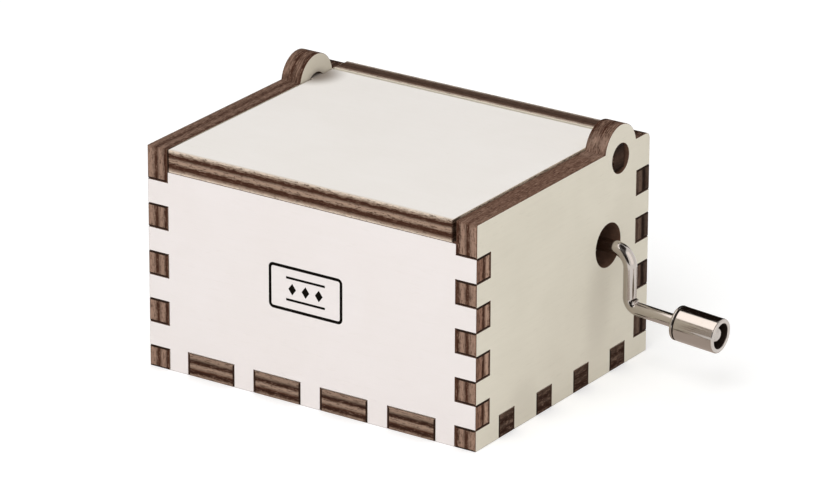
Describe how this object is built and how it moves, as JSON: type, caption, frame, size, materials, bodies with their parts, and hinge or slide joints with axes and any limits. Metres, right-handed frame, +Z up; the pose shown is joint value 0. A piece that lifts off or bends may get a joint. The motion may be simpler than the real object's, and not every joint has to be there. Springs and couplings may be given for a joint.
{
  "type": "hand-cranked music box",
  "caption": "Hand-cranked wooden music box: a finger-jointed plywood case with a pin-hinged lid, round a movement of comb, pinned cylinder and worm gear turned by a crank.",
  "frame": {"origin": "middle of the case's underside, on the surface that the box stands on", "axes": "+X along the front towards the crank's side, +Y from the front to the rear, +Z up"},
  "size_m": [0.0859, 0.0514, 0.0426],
  "materials": {
    "plywood": "bare birch plywood, sanded, with laser-browned edges",
    "cast_zinc": "bare die-cast zinc",
    "spring_steel": "ground steel",
    "nickel": "bright nickel plate",
    "brass": "bare brass",
    "nylon": "natural white nylon"
  },
  "bodies": {
    "case": {"front_panel": "plywood", "rear_panel": "plywood", "left_panel": "plywood", "right_panel": "plywood", "bottom_panel": "plywood", "bedplate": "cast_zinc", "comb": "spring_steel", "comb_screw_front": "spring_steel", "comb_screw_rear": "spring_steel", "bearing_bracket": "spring_steel", "bearing_bracket_screw_left": "spring_steel", "bearing_bracket_screw_right": "spring_steel", "worm_bracket": "spring_steel", "worm_bracket_screw_left": "spring_steel", "worm_bracket_screw_right": "spring_steel", "mounting_screw_left": "spring_steel", "mounting_screw_front": "spring_steel", "mounting_screw_rear": "spring_steel"},
    "lid": {"lid": "plywood"},
    "crank": {"crank_rod": "nickel", "worm": "brass"},
    "knob": {"crank_knob": "nickel"},
    "cylinder": {"pinned_cylinder": "brass", "cylinder_cap": "nylon", "cylinder_arbor": "spring_steel", "worm_wheel": "nylon"}
  },
  "joints": [
    {"name": "lid_hinge", "type": "hinge", "parent": "case", "child": "lid", "pos_m": [0, 0.0167, 0.03675], "axis": [-1, 0, 0], "range_deg": [0, 135]},
    {"name": "crank_spin", "type": "hinge", "parent": "case", "child": "crank", "pos_m": [0, 0.0133, 0.0227], "axis": [1, 0, 0], "continuous": true},
    {"name": "knob_spin", "type": "hinge", "parent": "crank", "child": "knob", "pos_m": [0.04546, 0.0133, 0.01228], "axis": [0.9976, 0, -0.0698], "continuous": true},
    {"name": "cylinder_spin", "type": "hinge", "parent": "case", "child": "cylinder", "pos_m": [0.01, 0, 0.0142], "axis": [0, 1, 0], "continuous": true}
  ],
  "couplings": [
    {"joint": "cylinder_spin", "follows": "crank_spin", "ratio": -0.05}
  ]
}
